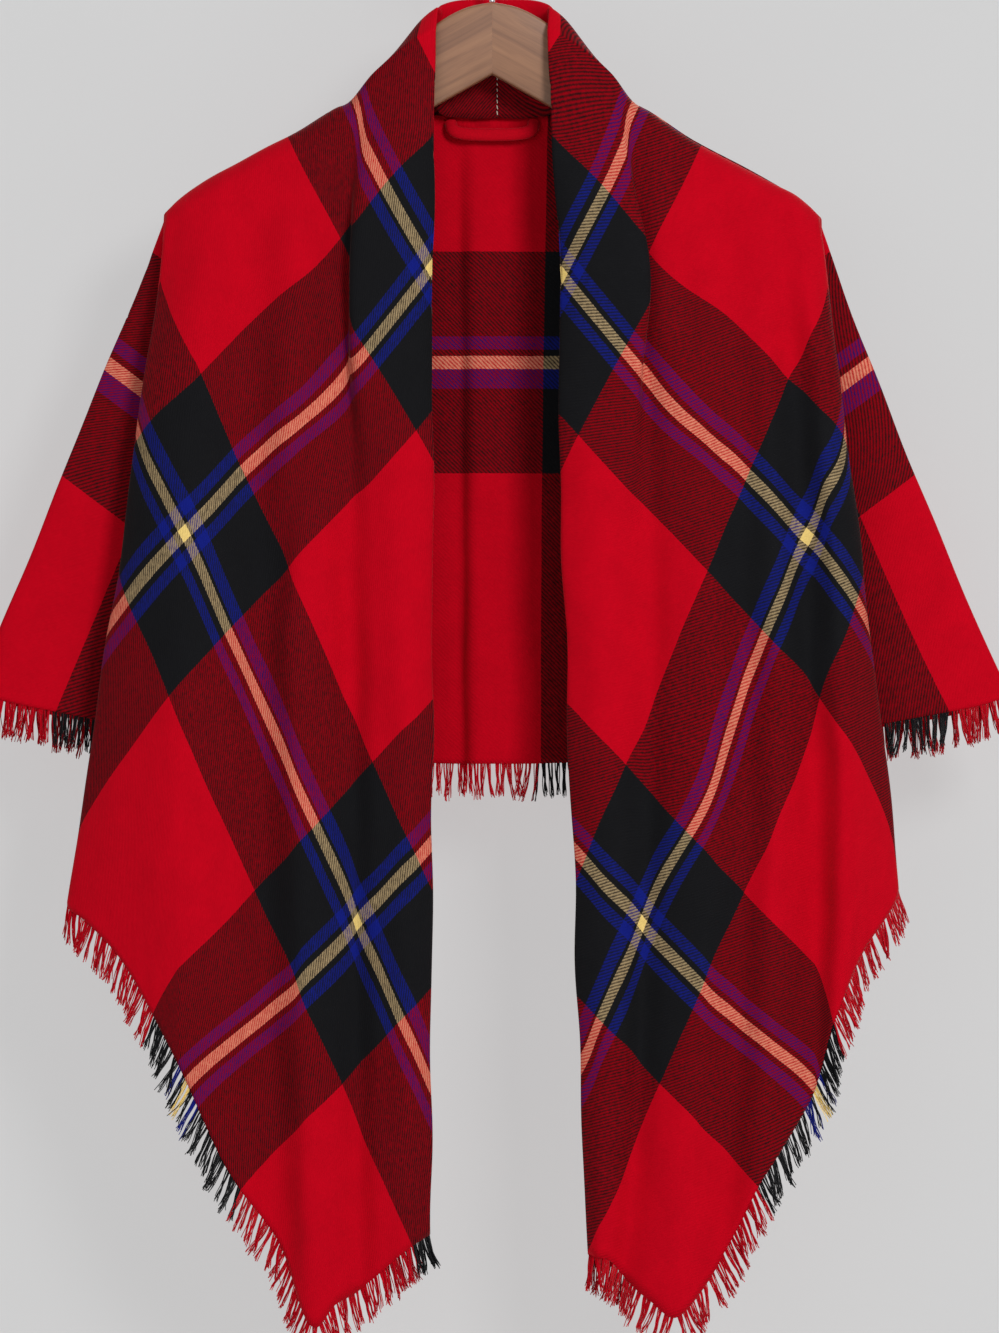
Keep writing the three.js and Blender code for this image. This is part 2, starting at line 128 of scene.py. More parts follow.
cloth = {
    "rows": 150,            # rows of the grid from the shoulder to the hem
    "rowPower": 1.6,        # rows lie closer together near the shoulder
    "steps": 7,             # columns between two fold lines
    "neckSteps": 8,         # rows between two stations round the neck
    "shoulderRadius": 14,   # the cloth rolls over the hanger's arm with this radius
    "collarLevel": -250,    # where the shawl collar stands proudest
    "collarReach": 105,     # half of the height over which it fades
    "shift": 3.4,           # the cape hangs this far to the right of the hook
    "rightNeckShift": -5,   # the right half of the collar sits closer in
    "wall": 1.8,            # thickness of the twill with its nap
}
ripple = {
    "waves": 14,
    "height": 0.32,         # of each soft wave of the drape
    "lengths": (48, 150),   # shortest and longest wave
    "tilt": 0.9,            # radians either way from straight across
    "fade": 0.06,           # share of the way down over which they come in below the shoulder
}

# Creases of the fronts: top x z, bottom x z, half width, depth (a ridge is negative).
creases = (
    (-122, -215, -156, -500, 11, 3.0),
    (-176, -260, -205, -640, 14, 2.6),
    (-70, -420, -64, -860, 9, -1.8),
    (-150, -520, -138, -900, 12, 2.6),
    (-108, -430, -102, -560, 9, 2.4),
    (122, -230, 160, -480, 11, 2.6),
    (196, -290, 212, -480, 13, 3.0),
    (222, -560, 214, -720, 10, 2.6),
    (76, -560, 84, -880, 9, -1.8),
    (150, -600, 132, -900, 11, 2.4),
)
# The same for the back, where a ridge that shows between the fronts stands forward.
backCreases = (
    (-27, -160, -25, -600, 5, -2.6),
    (-15, -150, -14, -600, 6, 2.0),
    (22, -260, 24, -600, 7, -1.8),
    (-44, -150, -46, -600, 8, 2.2),
)
# How they run, in millimetres and in shares of their length.
creaseRun = {
    "clear": 12,            # a fold line this far from the hanger's middle counts as front or back
    "sway": 5,              # sideways, half way down a front
    "bow": 3.1,             # radians of a sine wave from end to end
    "past": 0.25,           # how far a crease goes on past its two places
    "held": 0.3,            # and where its sideways run stops
    "taper": 0.4,           # over which its ends die away
}


def throughThree(a, b, c, w):
    # a parabola through three places, reached at w = 0, 0.5 and 1
    return a * (1 - w) * (1 - 2 * w) + 4 * b * w * (1 - w) + c * w * (2 * w - 1)


def smoothStep(t):
    # eases from 0 to 1 with level ends
    t = np.clip(t, 0, 1)
    return t * t * (3 - 2 * t)


def smoothed(points, steps):
    # Catmull-Rom curves along the second axis, with this many points to each span
    before = 2 * points[:, :1] - points[:, 1:2]
    after = 2 * points[:, -1:] - points[:, -2:-1]
    padded = np.concatenate([before, points, after], 1)
    spans = points.shape[1] - 1
    a, b, c, d = (padded[:, k:k + spans, None] for k in range(4))
    t = (np.arange(steps) / steps)[None, None, :, None]
    curve = 0.5 * (2 * b + (c - a) * t + (2 * a - 5 * b + 4 * c - d) * t**2 + (3 * b - a - 3 * c + d) * t**3)
    return np.concatenate([curve.reshape(points.shape[0], -1, 3), points[:, -1:]], 1)


def foldLines(table, w):
    # each line is a parabola down the cloth, with the shoulder's roll taken off its depth
    x0, e0, z0, y0, x1, y1, z1, x2, y2, z2 = np.array(list(table.values()), float).T
    x = throughThree(x0, x1, x2, w[:, None])
    z = throughThree(z0, z1, z2, w[:, None])
    drop = np.clip((z0 - z) / cloth["shoulderRadius"], 0, 1)
    y = e0 + (throughThree(y0, y1, y2, w[:, None]) - e0) * np.sqrt(1 - (1 - drop) ** 2)
    return np.stack([x, y, z], -1)


def rollLines(table, w):
    # the same parabola, pushed out where the collar is fullest
    x0, y0, z0, x1, y1, z1, x2, y2, z2, bulgeX, bulgeY = np.array(list(table.values()), float).T
    z = throughThree(z0, z1, z2, w[:, None])
    fullness = np.exp(-(((z - cloth["collarLevel"]) / cloth["collarReach"]) ** 2))
    x = throughThree(x0, x1, x2, w[:, None]) + bulgeX * fullness
    y = throughThree(y0, y1, y2, w[:, None]) + bulgeY * fullness
    return np.stack([x, y, z], -1)


def arcs(points, axis):
    # distance travelled along an axis of a grid, from its start
    lengths = np.linalg.norm(np.diff(points, axis=axis), axis=-1)
    start = np.zeros_like(np.take(lengths, [0], axis))
    return np.concatenate([start, np.cumsum(lengths, axis)], axis)


def gridNormals(points):
    # across times down at each point, made one long
    down = np.gradient(points, axis=0)
    along = np.gradient(points, axis=1)
    normals = np.cross(along, down)
    return normals / np.maximum(np.linalg.norm(normals, axis=-1, keepdims=True), 1e-9)


# The whole cape is one sheet: left rolled edge, left half, back, right half, right rolled edge.
lineNames = (
    ["left " + name for name in [*leftRoll, *leftFolds]]
    + ["right " + name for name in reversed([*rightRoll, *rightFolds])]
)


def column(name):
    # a fold line's column in the smoothed grid
    return lineNames.index(name) * cloth["steps"]


def drape():
    # the fold lines row by row, and the sheet smoothed across them
    w = (np.arange(cloth["rows"] + 1) / cloth["rows"]) ** cloth["rowPower"]
    right = np.concatenate([rollLines(rightRoll, w), foldLines(rightFolds, w)], 1)[:, ::-1]
    lines = np.concatenate([rollLines(leftRoll, w), foldLines(leftFolds, w), right], 1)
    sheet = smoothed(lines, cloth["steps"])
    return lines, sheet, w


def rippled(sheet, w):
    # soft waves and listed creases, square to the cloth, fading out at the shoulder
    across = arcs(sheet[sheet.shape[0] // 2][None], 1)
    height = np.zeros(sheet.shape[:2])
    for _ in range(ripple["waves"]):
        angle, phase = rng.uniform(-ripple["tilt"], ripple["tilt"]), rng.uniform(0, 2 * math.pi)
        waves = 2 * math.pi / rng.uniform(*ripple["lengths"])
        height += ripple["height"] * np.sin(
            waves * (across * math.cos(angle) + sheet[..., 2] * math.sin(angle)) + phase)
    depthAt = sheet[..., 1]
    for table, there, sway in ((creases, depthAt < -creaseRun["clear"], creaseRun["sway"]),
                               (backCreases, depthAt > creaseRun["clear"], 0)):
        for xTop, zTop, xBottom, zBottom, halfWidth, depth in table:
            t = np.clip((zTop - sheet[..., 2]) / (zTop - zBottom), -creaseRun["held"], 1 + creaseRun["held"])
            middle = xTop + (xBottom - xTop) * t + sway * np.sin(creaseRun["bow"] * t)
            ends = smoothStep((t + creaseRun["past"]) / creaseRun["taper"])
            ends *= smoothStep((1 + creaseRun["past"] - t) / creaseRun["taper"])
            height -= there * depth * ends * np.exp(-(((sheet[..., 0] - middle) / halfWidth) ** 2))
    normals = gridNormals(sheet)
    middleRow = sheet.shape[0] // 2
    normals *= -np.sign(normals[middleRow, column("left cornerRidge"), 1])   # they face the front's outside
    return sheet + normals * (height * smoothStep(w / ripple["fade"])[:, None])[..., None]


# The check. u runs across from the centre line, v down from the neck on the back and, past the
# shoulder, up the fronts as a negative length. Both are millimetres of cloth.
check = {
    "centreRed": 60,        # half of the red column at the centre
    "blackBand": 152.7,
    "redBand": 163,
    "edgeRed": 129,
    "plainBlack": 58.6,     # from the band's edge to its blue line
    "blueLine": 9.5,
    "fineBlack": 4,
    "yellowLine": 8.5,
    "weftStarts": (-527, -224, 94),   # where the black rows begin
    "hemV": (-640, 450),
    "past": 30,             # the bands go on this far past each hem
    "sideShare": 0.8,       # of the cloth past the outer ridge that shows as width
}


def bandEdges(starts, first, end):
    # (position, colour) at each change of thread from first to end
    edges = [(first, "red")]
    for start in starts:
        at = start
        for name, width in (("black", "plainBlack"), ("blue", "blueLine"), ("black", "fineBlack"),
                            ("yellow", "yellowLine"), ("black", "fineBlack"), ("blue", "blueLine"),
                            ("black", "plainBlack")):
            edges.append((at, name))
            at += check[width]
        edges.append((at, "red"))
    return edges, end


secondBand = check["centreRed"] + check["blackBand"] + check["redBand"]
warpEnd = secondBand + check["blackBand"] + check["edgeRed"] + 2 * check["past"]
warpBands = bandEdges((check["centreRed"], secondBand), 0, warpEnd)
weftBands = bandEdges(check["weftStarts"], check["hemV"][0] - check["past"], check["hemV"][1] + check["past"])

# Where the crossings of the yellow lines hang on each front: x, z, and their u and v.
crossings = {
    "left": ((-42.2, -244.2, -136.5, -147.5), (-210.8, -427.2, -452.5, -147.5), (-94.5, -689, -452.5, -450)),
    "right": ((41.5, -249, 136.5, -147.5), (209.4, -429.2, 452.5, -147.5), (97.9, -689.6, 452.5, -450)),
}
# Stretches of the cloth that lie a little off that: x, z, added u, added v, reach.
pulls = {
    "left": ((-112, -334, 0, 9, 42), (-115, -235, -8, 9, 45), (-207, -796, 0, -13, 60)),
    "right": ((112, -345, 0, 8, 42), (118, -235, 6, 15, 42), (137, -599, -12, 0, 55),
              (215, -796, 0, -13, 60)),
}
collarPulls = {
    "left": ((-45, -150, 0, 6, 30),),
    "right": ((45, -150, 0, 6, 30), (40, -100, 18, 0, 42)),
}
# The collar is less gathered than the front beside it: u and v per millimetre from the roll,
# less than the front's, and the rest is hidden in the valley behind its ridge.
collarSlack = {"left": (0.34, 0.18), "right": (-0.24, 0.14), "reach": 150}
backCheck = {
    "centreU": 27,          # the cloth's centre line hangs this far to the left of the hook
    # at the wing's edge: on the shoulder, and from half way down
    "edgeU": (240, {"left": 316, "right": 330}),
    "neckZ": -131,          # v is 0 at the neck seam and true to length down the back
    "wingSlope": 0.62,      # the bands drop by this share on the way in from the wing's edge
}


def frontPattern(side, x, z, strip):
    # strip is 1 on the collar and 0 on the front beside it
    points = np.array(crossings[side], float)
    fit = np.linalg.solve(np.c_[points[:, :2], np.ones(3)], points[:, 2:])
    u, v = np.moveaxis(np.stack([x, z, np.ones_like(x)], -1) @ fit, -1, 0)
    for table, share in ((pulls, 1 - strip), (collarPulls, strip)):
        for pullX, pullZ, addU, addV, reach in table[side]:
            near = share * np.exp(-((x - pullX) ** 2 + (z - pullZ) ** 2) / reach**2)
            u, v = u + addU * near, v + addV * near
    return u, v


def pattern(sheet, w):
    # u and v for the whole sheet
    u = np.zeros(sheet.shape[:2])
    v = np.zeros(sheet.shape[:2])
    centre = np.argmin(np.abs(sheet[0, column("left neckValley"):column("right neckValley"), 0]))
    centre += column("left neckValley")
    along = arcs(sheet, 1)
    shoulderU, edgeUs = backCheck["edgeU"]
    for side, sign in (("left", -1), ("right", 1)):
        edge, inner = column(side + " wingEdge"), column(side + " innerValley")
        turn, face = column(side + " frontEdge"), column(side + " hiddenValley")
        ridge = column(side + " outerRidge")
        outer = slice(ridge, None) if side == "left" else slice(0, ridge + 1)
        # fronts: by place up to the outer ridge, and by length of cloth past it
        x = sheet[..., 0].copy()
        past = np.abs(along - along[:, ridge:ridge + 1])
        x[:, outer] = (sheet[:, ridge:ridge + 1, 0] + sign * check["sideShare"] * past)[:, outer]
        ridgeAt, tuckAt = column(side + " collarRidge"), column(side + " tuck")
        rollX = sheet[:, [column(side + " roll")], 0]
        strip = smoothStep((np.arange(sheet.shape[1]) - tuckAt) / (ridgeAt - tuckAt))
        frontU, frontV = frontPattern(side, x, sheet[..., 2], strip)
        level = np.exp(-(((sheet[..., 2] - cloth["collarLevel"]) / collarSlack["reach"]) ** 2))
        slack = strip * level * np.minimum(np.abs(x - rollX), 60)
        frontU, frontV = frontU + collarSlack[side][0] * slack, frontV + collarSlack[side][1] * slack
        # back and wing: by length of cloth from the centre
        fromCentre = np.abs(along - along[:, centre:centre + 1])
        reach = fromCentre[:, edge:edge + 1]
        edgeU = (shoulderU + (edgeUs[side] - shoulderU) * smoothStep(w / 0.5))[:, None]
        nearU = 60 + sign * backCheck["centreU"]
        farU = nearU + (edgeU - nearU) * (fromCentre - 60) / (reach - 60)
        backU = np.where(fromCentre < 60, fromCentre + sign * backCheck["centreU"], farU)
        backU = sign * np.where(fromCentre > reach, edgeU + fromCentre - reach, backU)
        inwards = np.maximum(fromCentre - reach, 0)
        backV = backCheck["neckZ"] - sheet[..., 2] - backCheck["wingSlope"] * inwards
        span = np.arange(sheet.shape[1])
        share = np.clip((span - turn) / (face - turn), 0, 1)   # 0 on the front, 1 on the wing and back
        half = span <= centre if side == "left" else span > centre
        u = np.where(half, frontU + (backU - frontU) * share, u)
        v = np.where(half, frontV + (backV - frontV) * share, v)
    return u, v


neckPattern = {
    "heights": (55, 12, -8, 15, 40, 58),   # past the red column's edge, from seam to foot at the centre back
    "v": 20,
}


def neckBand(side, lines, u, v):
    # the collar's rows round the neck, and their u and v, from the centre back to the front's top row
    sign = -1 if side == "left" else 1
    stations = np.array(neckStations, float)
    steps = np.arange(len(stations)) / (len(stations) - 1)
    stations[..., 0] += (0 if side == "left" else cloth["rightNeckShift"]) * steps[:, None]
    stations[0, :, 0] = 0
    stations[..., 0] *= sign
    top = lines[0, :6] if side == "left" else lines[0, -6:][::-1]
    rows = smoothed(np.concatenate([stations, top[None]]).transpose(1, 0, 2), cloth["neckSteps"])[:, :-1]
    grid = smoothed(rows.transpose(1, 0, 2), cloth["steps"])
    t = smoothStep(np.arange(grid.shape[0]) / grid.shape[0])[:, None]
    wide = grid.shape[1]
    firstU, firstV = (row[:wide] if side == "left" else row[::-1][:wide] for row in (u[0], v[0]))
    places = np.arange(wide) / (wide - 1) * 5
    centreU = sign * (check["centreRed"] + np.interp(places, range(6), neckPattern["heights"]))
    arc = arcs(grid, 0)
    gridU = centreU + (firstU - centreU) * t
    gridV = (neckPattern["v"] + sign * arc) * (1 - t) + firstV * t
    return grid, gridU, gridV


def quads(ids):
    # four corners for each cell of a grid of point numbers
    return np.stack([ids[:-1, :-1], ids[1:, :-1], ids[1:, 1:], ids[:-1, 1:]], -1).reshape(-1, 4)


def meshPiece(name, points, faces, uv=None, smooth=True):
    # points in millimetres, and one u v pair to each of them
    mesh = bpy.data.meshes.new(name)
    mesh.from_pydata((points * mm).tolist(), [], faces.tolist() if hasattr(faces, "tolist") else faces)
    if uv is not None:
        corners = np.zeros(len(mesh.loops), np.int32)
        mesh.loops.foreach_get("vertex_index", corners)
        layer = mesh.uv_layers.new(name="clothMap")
        layer.data.foreach_set("uv", (uv[corners] * mm).astype(np.float32).ravel())
    mesh.polygons.foreach_set("use_smooth", np.full(len(mesh.polygons), smooth))
    mesh.validate()
    piece = bpy.data.objects.new(name, mesh)
    bpy.context.scene.collection.objects.link(piece)
    return piece


def finishPiece(piece, material, slotName, *nodes):
    # material and the nodes that the piece stands for; slotName is not used
    piece.data.materials.append(material)
    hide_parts(*nodes)
    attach(piece, "root")
    return piece


def thicken(piece, wall):
    # a wall grown by half to either side of the sheet
    solid = piece.modifiers.new("wall", "SOLIDIFY")
    solid.thickness = wall * mm
    solid.offset = 0
    return piece


# Materials
def linear(colour):
    # screen colour, 0 to 255, to the light it stands for
    c = np.array(colour, float) / 255
    return tuple(np.where(c <= 0.04045, c / 12.92, ((c + 0.055) / 1.055) ** 2.4))


threads = {
    "red": linear((190, 2, 25)),
    "black": linear((23, 23, 25)),
    "blue": linear((20, 30, 122)),
    "yellow": linear((238, 206, 124)),
}
# Where threads cross, the gap between these says how: over 0.75 red sinks under black or blue,
# between 0.5 and 0.75 red and yellow glow orange, and between 0.25 and 0.5 yellow dulls on black.
warmth = {"red": 1.0, "yellow": 0.4, "black": 0.0, "blue": 0.0}
twill = {
    "rib": 2.9,             # millimetres across both threads' directions from one rib to the next
    "contrast": 0.36,       # of one rib against the next, before the nap blurs it
    "crossShade": 0.45,
    "orange": (0.9, 0.47, 0.9),
    "khaki": (0.5, 0.5, 0.8),
    "fuzz": 0.0005,
    "bump": 0.00022,
}


class Nodes:
    # short ways to add and join nodes in one material
    def __init__(self, name):
        self.material = bpy.data.materials.new(name)
        self.material.use_nodes = True
        self.tree = self.material.node_tree
        self.tree.nodes.clear()

    def add(self, kind, inputs=(), **settings):
        made = self.tree.nodes.new("ShaderNode" + kind)
        for key, value in settings.items():
            setattr(made, key, value)
        for key, value in dict(inputs).items():
            if isinstance(value, bpy.types.NodeSocket):
                self.tree.links.new(value, made.inputs[key])
            else:
                made.inputs[key].default_value = value
        return made

    def sum(self, operation, a, b=0.0, clamp=False):
        return self.add("Math", {0: a, 1: b}, operation=operation, use_clamp=clamp).outputs[0]

    def mix(self, factor, a, b, blend="MIX"):
        made = self.add("Mix", data_type="RGBA", blend_type=blend)
        for socket, value in ((made.inputs[0], factor), (made.inputs[6], a), (made.inputs[7], b)):
            if isinstance(value, bpy.types.NodeSocket):
                self.tree.links.new(value, socket)
            else:
                socket.default_value = value if isinstance(value, float) else (*value, 1)
        return made.outputs[2]

    def shade(self, **sockets):
        shader = self.add("BsdfPrincipled", {k.replace("_", " "): v for k, v in sockets.items()})
        output = self.add("OutputMaterial")
        self.tree.links.new(shader.outputs[0], output.inputs[0])
        return self.material


def threadRamp(nodes, position, bands):
    # the colour and warmth of the thread at a place across the bands
    edges, end = bands
    first = edges[0][0]
    share = nodes.sum("DIVIDE", nodes.sum("SUBTRACT", position, first * mm), (end - first) * mm)
    ramp = nodes.add("ValToRGB", {0: share})
    ramp.color_ramp.interpolation = "CONSTANT"
    stops = ramp.color_ramp.elements
    for k, (at, name) in enumerate(edges):
        stop = stops[k] if k < 2 else stops.new(0.999)
        stop.position = (at - first) / (end - first)
        stop.color = (*threads[name], warmth[name])
    return ramp.outputs


def tartanMaterial():
    # warp and weft colours by place, woven together rib by rib
    n = Nodes("tartanTwill")
    place = n.add("UVMap", uv_map="clothMap").outputs[0]
    fuzzNoise = n.add("TexNoise", {"Vector": place, "Scale": 620.0, "Detail": 2.0, "Roughness": 0.7})
    fuzz = n.add("VectorMath", {0: fuzzNoise.outputs["Color"], 1: (0.5, 0.5, 0.5)}, operation="SUBTRACT")
    spread = n.add("VectorMath", {0: fuzz.outputs[0], "Scale": 2 * twill["fuzz"]}, operation="SCALE")
    moved = n.add("VectorMath", {0: place, 1: spread.outputs[0]}, operation="ADD")
    parts = n.add("SeparateXYZ", {0: moved.outputs[0]})
    u, v = parts.outputs[0], parts.outputs[1]
    warp = threadRamp(n, n.sum("ABSOLUTE", u), warpBands)
    weft = threadRamp(n, v, weftBands)
    # ribs of the twill: a sine across u - v, steepened, with the nap blurring it here and there
    turns = n.sum("MULTIPLY", n.sum("SUBTRACT", u, v), 2 * math.pi / (twill["rib"] * mm))
    rib = n.sum("SINE", turns)
    nap = n.add("TexNoise", {"Vector": place, "Scale": 260.0, "Detail": 3.0, "Roughness": 0.65}).outputs[0]
    clump = n.add("TexNoise", {"Vector": place, "Scale": 45.0, "Detail": 2.0}).outputs[0]
    napped = n.sum("MULTIPLY", n.sum("SUBTRACT", nap, 0.5), 2.4)
    mask = n.sum("ADD", n.sum("MULTIPLY", n.sum("ADD", rib, napped), twill["contrast"]), 0.5, clamp=True)
    crossing = n.mix(mask, warp[0], weft[0])
    gap = n.sum("ABSOLUTE", n.sum("SUBTRACT", warp[1], weft[1]))
    unlike = n.sum("GREATER_THAN", gap, 0.75)
    warm = n.sum("GREATER_THAN", gap, 0.5)
    glow = n.sum("SUBTRACT", warm, unlike)
    dull = n.sum("SUBTRACT", n.sum("GREATER_THAN", gap, 0.25), warm)
    crossing = n.mix(glow, crossing, n.mix(1.0, crossing, twill["orange"], "MULTIPLY"))
    crossing = n.mix(dull, crossing, n.mix(1.0, crossing, twill["khaki"], "MULTIPLY"))
    deep = n.sum("SUBTRACT", 1.0, n.sum("MULTIPLY", unlike, twill["crossShade"]))
    mottle = n.sum("ADD", n.sum("MULTIPLY", n.sum("ADD", nap, clump), 0.22), 0.78)
    deep = n.sum("MULTIPLY", deep, mottle)
    grey = n.add("CombineColor", {0: deep, 1: deep, 2: deep}).outputs[0]
    colour = n.mix(1.0, crossing, grey, "MULTIPLY")
    height = n.sum("ADD", n.sum("MULTIPLY", rib, 0.5), nap)
    bump = n.add("Bump", {"Height": height, "Distance": twill["bump"], "Strength": 0.6})
    return n.shade(Base_Color=colour, Roughness=0.92, Normal=bump.outputs[0], Specular_IOR_Level=0.05,
                   Sheen_Weight=0.1, Sheen_Roughness=0.3, Sheen_Tint=(1.0, 0.6, 0.55, 1.0))


def threadMaterial(name, colour=None):
    # loose or plain wool: its colour comes from the strands' own attribute unless one is given
    n = Nodes(name)
    place = n.add("TexCoord").outputs["Object"]
    nap = n.add("TexNoise", {"Vector": place, "Scale": 900.0, "Detail": 2.0}).outputs[0]
    base = colour or n.add("VertexColor", layer_name="threadColour").outputs[0]
    shade = n.sum("ADD", n.sum("MULTIPLY", nap, 0.5), 0.72)
    grey = n.add("CombineColor", {0: shade, 1: shade, 2: shade}).outputs[0]
    bump = n.add("Bump", {"Height": nap, "Distance": 0.0003, "Strength": 0.5})
    return n.shade(Base_Color=n.mix(1.0, base, grey, "MULTIPLY"), Roughness=0.9, Normal=bump.outputs[0],
                   Specular_IOR_Level=0.08, Sheen_Weight=0.15, Sheen_Roughness=0.3)


def woodMaterial():
    # long soft figure with fine pores along the grain
    n = Nodes("satinWalnut")
    place = n.add("UVMap", uv_map="clothMap").outputs[0]
    long = n.add("Mapping", {"Vector": place, "Scale": (9.0, 160.0, 1.0)}).outputs[0]
    figure = n.add("TexNoise", {"Vector": long, "Scale": 1.0, "Detail": 5.0, "Roughness": 0.6,
                                "Distortion": 0.6})
    pores = n.add("Mapping", {"Vector": place, "Scale": (60.0, 1500.0, 1.0)}).outputs[0]
    pore = n.add("TexNoise", {"Vector": pores, "Scale": 1.0, "Detail": 2.0}).outputs[0]
    ramp = n.add("ValToRGB", {0: figure.outputs[0]})
    for stop, at, tone in zip(ramp.color_ramp.elements, (0.3, 0.72), ((122, 82, 58), (158, 112, 80))):
        stop.position = at
        stop.color = (*linear(tone), 1)
    dark = n.sum("ADD", n.sum("MULTIPLY", pore, 0.5), 0.74, clamp=True)
    grey = n.add("CombineColor", {0: dark, 1: dark, 2: dark}).outputs[0]
    bump = n.add("Bump", {"Height": pore, "Distance": 0.0001, "Strength": 0.4})
    gloss = n.sum("ADD", n.sum("MULTIPLY", figure.outputs[0], 0.2), 0.36)
    return n.shade(Base_Color=n.mix(1.0, ramp.outputs[0], grey, "MULTIPLY"), Roughness=gloss,
                   Normal=bump.outputs[0], Coat_Weight=0.1, Coat_Roughness=0.3)


def steelMaterial():
    # bright wire with faint scratches
    n = Nodes("polishedSteel")
    place = n.add("TexCoord").outputs["Object"]
    scratch = n.add("TexNoise", {"Vector": place, "Scale": 700.0, "Detail": 3.0}).outputs[0]
    rough = n.sum("ADD", n.sum("MULTIPLY", scratch, 0.14), 0.14)
    return n.shade(Base_Color=(0.72, 0.73, 0.75, 1.0), Metallic=1.0, Roughness=rough)


# Cloth
lines, sheet, w = drape()
u, v = pattern(sheet, w)
sheet = rippled(sheet, w)
shiftX = np.array((cloth["shift"], 0, 0))
tartan = tartanMaterial()
print("drape worked out:", sheet.shape)


def capeHalf(side):
    # one mesh: the collar round the neck and down the front, the front, and the wing at the side
    grid, gridU, gridV = neckBand(side, lines, u, v)
    turn = column(side + " wingBack")
    cut = slice(0, turn + 1) if side == "left" else slice(turn, None)
    turned = 1 if side == "left" else -1
    front, frontU, frontV = (a[:, cut][:, ::turned] for a in (sheet, u, v))
    wide = grid.shape[1]
    over = front[:1, wide:] * (1, 0, 1)       # the shoulder's last row meets the back's over the arm
    parts = [(grid, gridU, gridV), (front, frontU, frontV), (over, frontU[:1, wide:], frontV[:1, wide:])]
    points = np.concatenate([part[0].reshape(-1, 3) for part in parts]) + shiftX
    uv = np.stack([np.concatenate([part[k].ravel() for part in parts]) for k in (1, 2)], -1)
    neckIds = np.arange(grid.shape[0] * wide).reshape(-1, wide)
    frontIds = neckIds.size + np.arange(frontU.size).reshape(frontU.shape)
    overIds = neckIds.size + frontIds.size + np.arange(over.shape[1])[None]
    faces = np.concatenate([
        quads(np.concatenate([neckIds, frontIds[:1, :wide]])), quads(frontIds),
        quads(np.concatenate([overIds, frontIds[:1, wide:]]))])
    piece = thicken(meshPiece("cape_" + side, points, faces, uv), cloth["wall"])
    finishPiece(piece, tartan, "tartan_cloth", "front_" + side, "wing_" + side, "collar_" + side)
    return piece


# The back reaches up inside the collar, in millimetres.
neckFill = {"halfWidth": 74, "fade": 14, "rise": 6.5, "forward": 2.6}


def capeBack():
    # the sheet between the two wings' backs, with one row more that reaches up behind the neck
    cut = slice(column("left wingBack"), column("right wingBack") + 1)
    top = sheet[:1, cut].copy()
    inside = smoothStep((neckFill["halfWidth"] + neckFill["fade"] - np.abs(top[..., 0])) / neckFill["fade"])
    top[..., 1] = (top[..., 1] - neckFill["forward"]) * inside
    top[..., 2] += neckFill["rise"] * inside
    points = np.concatenate([top, sheet[:, cut]]) + shiftX
    ids = np.arange(points.shape[0] * points.shape[1]).reshape(points.shape[:2])
    uv = np.stack([np.concatenate([a[:1, cut], a[:, cut]]).ravel() for a in (u, v)], -1)
    piece = thicken(meshPiece("cape_back", points.reshape(-1, 3), quads(ids), uv), cloth["wall"])
    finishPiece(piece, tartan, "tartan_cloth", "back")
    return piece


# Fringe
fringe = {
    "length": 28,
    "droop": 0.6,           # share of straight down in the way that the threads hang
    "spacing": 4.7,         # between two tassels
    "strands": 9,           # threads to a tassel
    "spread": 2.0,          # half of a tassel's width where it leaves the cloth
    "gather": 0.42,         # share of that width left at its tip
    "radius": 0.5,
    "taper": 0.35,          # share of the radius lost at the tip
    "rings": 8,
    "sides": 3,
    "uneven": 0.22,         # of the spacing, either way
    "shortest": (0.82, 0.86),   # strand in its tassel, and tassel in its row, as shares of the length
    "bend": 2.4,            # of a whole tassel
    "sway": 0.9,            # of one strand sideways
    "lift": 0.8,            # and in depth
    "twist": (0.7, 0.6),
    "curl": 6,              # radians of the twist from root to tip
    "rooted": 1.5,          # start inside the cloth
    "tone": (0.8, 1.25),    # darkest and lightest strand
}


def tubes(paths, radii, sides, across=(0, 1, 0)):
    # many tubes at once: paths is (tubes, rings, 3) and radii (tubes, rings)
    way = np.gradient(paths, axis=1)
    way /= np.maximum(np.linalg.norm(way, axis=-1, keepdims=True), 1e-9)
    first = np.cross(way, np.array(across, float))
    first /= np.maximum(np.linalg.norm(first, axis=-1, keepdims=True), 1e-9)
    second = np.cross(way, first)
    angle = np.arange(sides) * 2 * math.pi / sides
    ring = first[:, :, None] * np.cos(angle)[:, None] + second[:, :, None] * np.sin(angle)[:, None]
    points = paths[:, :, None] + ring * radii[:, :, None, None]
    count, rings = paths.shape[:2]
    ids = np.arange(count * rings * sides).reshape(count, rings, sides)
    ids = np.concatenate([ids, ids[..., :1]], -1)
    faces = np.stack([ids[:, :-1, :-1], ids[:, 1:, :-1], ids[:, 1:, 1:], ids[:, :-1, 1:]], -1).reshape(-1, 4)
    caps = np.concatenate([ids[:, 0, :-1][:, ::-1], ids[:, -1, :-1]])
    return points.reshape(-1, 3), faces[:, ::-1].tolist() + caps[:, ::-1].tolist()


def bandColours(position, bands):
    # the same for many places at once, as colours only
    edges, end = bands
    starts = np.array([at for at, name in edges])
    names = [name for at, name in edges]
    picked = np.searchsorted(starts, position, side="right") - 1
    return np.array([threads[name] for name in names])[np.clip(picked, 0, len(names) - 1)]


